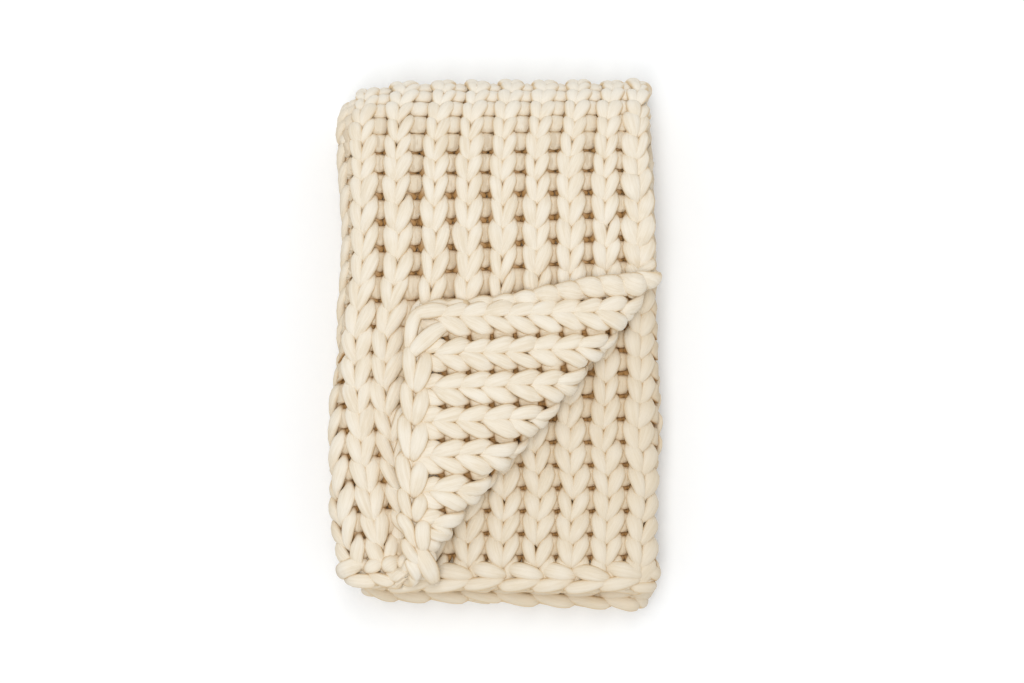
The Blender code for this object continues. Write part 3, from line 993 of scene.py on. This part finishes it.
# columns: name, first rib, end rib, first course, end course, steps between key points, sides
FIELDS = (
    ("knit_top_near", 0, 10, 0, 13, 2, 14),
    ("knit_top_far", 0, 10, 13, 27, 2, 13),
    ("knit_under", 0, 10, 27, 43, 1, 9),
    ("knit_second", 13, 21, 0, 15, 2, 13),
    ("knit_second_left", 10, 13, 0, 43, 1, 9),
    ("knit_second_far", 13, 21, 15, 43, 1, 8),
    ("knit_third", 21, 27, 0, 43, 1, 8),
)
# columns: name, whether it is at the far end, sides
CHAINS = (
    ("edge_chain_upper", 0, 14),
    ("edge_chain_lower", 1, 12),
)
CHAIN_FACES = ((-1, 3), (1, 2))       # face, steps between key points
CORE_STEPS, CORE_SIDES = 180, 10
ROPE_STEPS, ROPE_SIDES = 3, 14


def padded_piece(piece):
    """Hangs a piece on the root body in place of the folded cloth's solid, which is hidden."""
    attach(piece, "root")
    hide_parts("blanket")


def make_blanket():
    """All the pieces, in the order in which their yarn's random starts are drawn."""
    for name, *field in FIELDS:
        padded_piece(tube_mesh(name, [knit(*field)], WOOL))
    for name, far_end, sides in CHAINS:
        sweeps = [chain(far_end, face, steps, sides) for face, steps in CHAIN_FACES]
        sweeps.append(hem_core(far_end, CORE_STEPS, CORE_SIDES))
        padded_piece(tube_mesh(name, sweeps, WOOL))
    padded_piece(tube_mesh("edge_rope", edge_rope(ROPE_STEPS, ROPE_SIDES), WOOL))


# ---------------------------------------------------------------- studio
TOP_PLANE = 0.160             # height of the top of the stack
CAMERA_HEIGHT = TOP_PLANE + 4.0
VIEW_WIDTH = 1.337            # what the frame spans at the top of the stack
VIEW_MIDDLE = (0.0202, -0.0010)
SENSOR_MM = 36
FARTHEST = 30                 # that the camera sees, in m
FLOOR_SIZE = 14
FLOOR_WHITE = (0.968, 0.984, 1.0, 1)
FLOOR_ROUGHNESS = 0.9
FLOOR_SHINE = 0.1
WORLD_WHITE = (1.0, 1.0, 1.0, 1)
WORLD_STRENGTH = 0.66
KEY_PLACE = (-0.40, 0.05, 5.5)
KEY_SIZE = (5.0, 1.2)
KEY_POWER = 149
KEY_COLOUR = (1.0, 1.0, 0.995)


def plain_material(name, colour, roughness, shine):
    material = bpy.data.materials.new(name)
    material.use_nodes = True
    shader = material.node_tree.nodes["Principled BSDF"]
    shader.inputs["Base Color"].default_value = colour
    shader.inputs["Roughness"].default_value = roughness
    shader.inputs["Specular IOR Level"].default_value = shine
    return material


def area_light(name, location, size, power, colour):
    """A rectangular light that is turned towards the middle of the floor."""
    data = bpy.data.lights.new(name, "AREA")
    data.shape = "RECTANGLE"
    data.size, data.size_y = size
    data.energy = power
    data.color = colour
    light = bpy.data.objects.new(name, data)
    light.location = location
    aim = -light.location.normalized()
    light.rotation_euler = aim.to_track_quat("-Z", "Y").to_euler()
    bpy.context.scene.collection.objects.link(light)


def studio():
    """White floor, an even white sky, one broad light overhead, and the camera straight above."""
    bpy.ops.mesh.primitive_plane_add(size=FLOOR_SIZE, location=(0, 0, 0))
    floor = bpy.context.object
    floor.name = "floor"
    white = plain_material("floor_white", FLOOR_WHITE, FLOOR_ROUGHNESS, FLOOR_SHINE)
    floor.data.materials.append(white)
    world = bpy.data.worlds.new("studio")
    world.use_nodes = True
    background = world.node_tree.nodes["Background"]
    background.inputs["Color"].default_value = WORLD_WHITE
    background.inputs["Strength"].default_value = WORLD_STRENGTH
    bpy.context.scene.world = world
    area_light("key", KEY_PLACE, KEY_SIZE, KEY_POWER, KEY_COLOUR)
    camera = bpy.data.objects.new("camera", bpy.data.cameras.new("camera"))
    camera.location = (*VIEW_MIDDLE, CAMERA_HEIGHT)
    camera.data.sensor_width = SENSOR_MM
    camera.data.lens = SENSOR_MM * (CAMERA_HEIGHT - TOP_PLANE) / VIEW_WIDTH
    camera.data.clip_end = FARTHEST
    bpy.context.scene.collection.objects.link(camera)
    bpy.context.scene.camera = camera
    bpy.context.scene.view_settings.view_transform = "Standard"


bpy.ops.object.select_all(action="DESELECT")
make_blanket()
studio()
bpy.context.view_layer.update()
